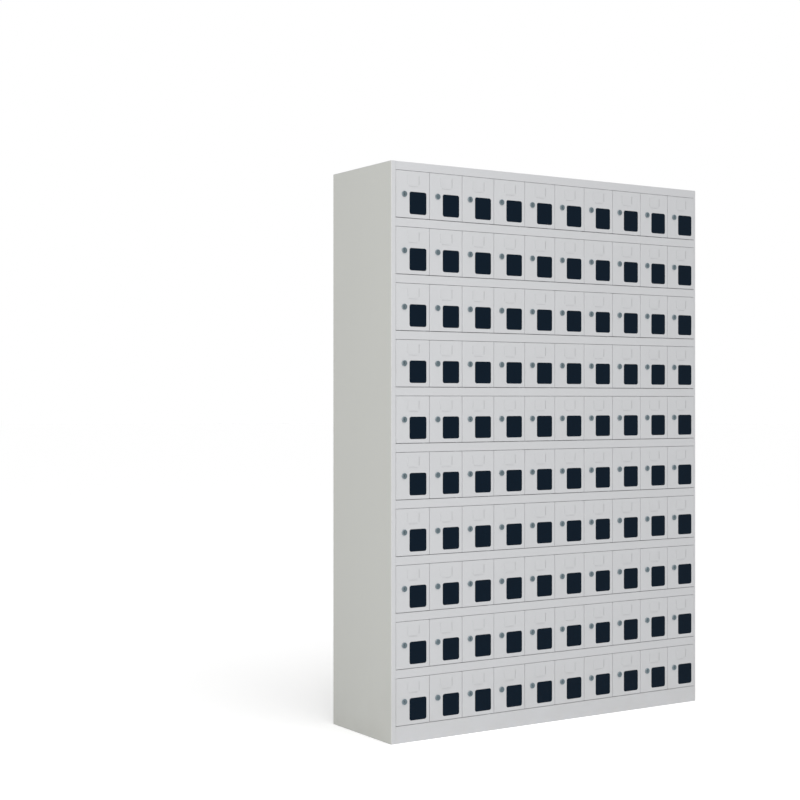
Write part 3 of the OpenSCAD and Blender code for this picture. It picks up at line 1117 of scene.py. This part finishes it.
@dataclass
class Doors:
    """Every door with its window and lock."""

    sizes: CabinetSizes
    finishes: Finishes
    pan: DoorPan = field(default_factory=DoorPan)
    lock: CamLock = field(default_factory=CamLock)

    def build(self) -> None:
        """Builds the doors of each column, then the doors that move on their own."""
        pan, lock = self.pan.shell(), self.lock.joined()
        pane = WindowPane(self.pan.window_low, self.pan.window_high).shell()
        f = self.finishes
        for column in range(1, self.sizes.columns + 1):
            tag = f"column_{column:02d}"
            corners = [self.sizes.door_corner(row, column) for row in self.sizes.rows_of(column)]
            axes = [self._lock_axis(corner) for corner in corners]
            parts = (
                ("door_pans", pan, corners, [f.front], "grey_paint", "door_panels"),
                ("tinted_panes", pane, corners, [f.acrylic], "tinted_acrylic", "window_panes"),
                ("door_locks", lock, axes, [f.lock, f.rim, f.steel], "lock_metal", "cam_locks"),
            )
            for name, template, places, materials, slot, node in parts:
                made = Shell()
                for at in places:
                    made.join(template, at)
                piece = made.build(f"{name}_{tag}", materials)
                place(piece, f"doors_{tag}", slot, f"{node}_{tag}")
        for row, column in self.sizes.single_doors:
            self._single(row, column, pan, pane)

    def _lock_axis(self, corner: Point3) -> Point3:
        """The lock's axis on a door's front face."""
        return (corner[0] + self.pan.lock[0], corner[1], corner[2] + self.pan.lock[1])

    def _single(self, row: int, column: int, pan: Shell, pane: Shell) -> None:
        """A door with a hinge and a turning lock plug of its own.

        Args:
            row: the door's row.
            column: its column.
            pan: the door's pan.
            pane: its window pane.
        """
        tag = f"row_{row}_column_{column}"
        door, plug = f"door_{tag}", f"plug_{tag}"
        corner = self.sizes.door_corner(row, column)
        axis = self._lock_axis(corner)
        f, lock = self.finishes, self.lock
        parts = (
            ("door_pan", pan, corner, [f.front], "grey_paint", "door_panel", door),
            ("tinted_pane", pane, corner, [f.acrylic], "tinted_acrylic", "window_pane", door),
            ("barrel", lock.barrel_shell(), axis, [f.lock, f.rim], "lock_metal", "lock_barrel", door),
            ("nut", lock.nut_shell(), axis, [f.steel], "plain_steel", "lock_nut", door),
            ("plug", lock.plug_shell(), axis, [f.lock], "lock_metal", "lock_plug", plug),
            ("cam", lock.cam_shell(), axis, [f.steel], "plain_steel", "lock_cam", plug),
            ("screw", lock.screw_shell(), axis, [f.steel], "plain_steel", "cam_screw", plug),
        )
        for name, template, at, materials, slot, node, body in parts:
            made = Shell()
            made.join(template, at)
            place(made.build(f"{name}_of_{tag}", materials), body, slot, f"{node}_{tag}")


@dataclass
class Studio:
    """A plain pale floor, soft light and the camera at the photograph's place."""

    camera_at: Point3 = (-2.9501, -3.8877, 1.0027)
    camera_turn: float = -32.602
    lens: float = 68.128
    sensor: float = 36
    sky: float = 0.434
    overhead: float = 1.1
    overhead_from: Point3 = (0.2, -0.62, 1.0)
    overhead_spread: float = 60
    key: float = 104
    key_at: Point3 = (-3.6, -3.6, 2.4)
    key_size: float = 3
    floor_reach: float = 60
    floor_corners: int = 48
    floor_bounce: float = 0.8
    floor_glow: float = 0.27
    floor_roughness: float = 0.9

    def build(self) -> None:
        """Builds the camera, the light and the floor."""
        self._camera()
        self._world()
        self._overhead()
        self._key()
        self._floor()
        bpy.context.scene.view_settings.view_transform = "Standard"

    def _camera(self) -> None:
        """A level camera that looks at the cabinet from its left front."""
        data = bpy.data.cameras.new("camera")
        data.lens, data.sensor_width = self.lens, self.sensor
        camera = bpy.data.objects.new("camera", data)
        camera.location = self.camera_at
        camera.rotation_euler = (math.radians(90), 0, math.radians(self.camera_turn))
        bpy.context.scene.collection.objects.link(camera)
        bpy.context.scene.camera = camera

    @staticmethod
    def _seen(bench: NodeBench) -> NodeSocket:
        """1 where a ray sees the background itself or its reflection."""
        path = bench.add("ShaderNodeLightPath")
        seen = bench.maths("MAXIMUM", path.outputs["Is Camera Ray"], path.outputs["Is Glossy Ray"])
        return bench.maths("MAXIMUM", seen, path.outputs["Is Transmission Ray"])

    def _world(self) -> None:
        """White to the eye, softer as a light."""
        world = bpy.data.worlds.new("studio")
        world.use_nodes = True
        world.node_tree.nodes.clear()
        bench = NodeBench(world.node_tree)
        strength = bench.maths("MULTIPLY_ADD", self._seen(bench), 1 - self.sky, self.sky)
        shade = bench.add("ShaderNodeBackground", Color=WHITE, Strength=strength)
        bench.add("ShaderNodeOutputWorld", Surface=shade.outputs[0])
        bpy.context.scene.world = world

    @staticmethod
    def _lamp(data: Light, source: Vector) -> Object:
        """Hangs a lamp whose light comes from a direction."""
        lamp = bpy.data.objects.new(data.name, data)
        lamp.rotation_mode = "QUATERNION"
        lamp.rotation_quaternion = source.to_track_quat("Z", "Y")
        bpy.context.scene.collection.objects.link(lamp)
        return lamp

    def _overhead(self) -> None:
        """One broad soft light from above the front."""
        data = bpy.data.lights.new("overhead light", "SUN")
        data.energy, data.angle = self.overhead, math.radians(self.overhead_spread)
        self._lamp(data, Vector(self.overhead_from))

    def _key(self) -> None:
        """A soft box beside the camera, which makes the front fall off gently to the right."""
        data = bpy.data.lights.new("key light", "AREA")
        data.energy, data.size = self.key, self.key_size
        middle = Vector((cad_box[0] + cad_box[1])) / 2
        lamp = self._lamp(data, Vector(self.key_at) - middle)
        lamp.location = self.key_at

    def _floor(self) -> None:
        """A wide floor that is white to the eye and keeps the cabinet's shadow."""
        ring = [(x, y, 0) for x, y in circle(self.floor_reach, self.floor_corners)]
        mesh = bpy.data.meshes.new("floor")
        mesh.from_pydata(ring, [], [tuple(range(len(ring)))])
        floor = bpy.data.objects.new("floor", mesh)
        bpy.context.scene.collection.objects.link(floor)
        material, bench, shader = blank_material("white floor")
        seen = self._seen(bench)
        grey = (self.floor_bounce, self.floor_bounce, self.floor_bounce, 1.0)
        bench.put(shader, "Base Color", bench.mixed(seen, grey, WHITE))
        bench.put(shader, "Emission Color", WHITE)
        bench.put(shader, "Emission Strength", bench.maths("MULTIPLY", seen, self.floor_glow))
        bench.put(shader, "Roughness", self.floor_roughness)
        bench.put(shader, "Specular IOR Level", 0.0)
        mesh.materials.append(material)


def main() -> None:
    """Builds the cabinet and its studio, and reports each piece."""
    logging.basicConfig(level=logging.INFO, format="%(name)s: %(message)s")
    sizes = CabinetSizes()
    finishes = Finishes.made()
    FoldedBody(sizes, finishes).build()
    Doors(sizes, finishes).build()
    Studio().build()
    bpy.context.view_layer.update()


if __name__ == "__main__":
    main()
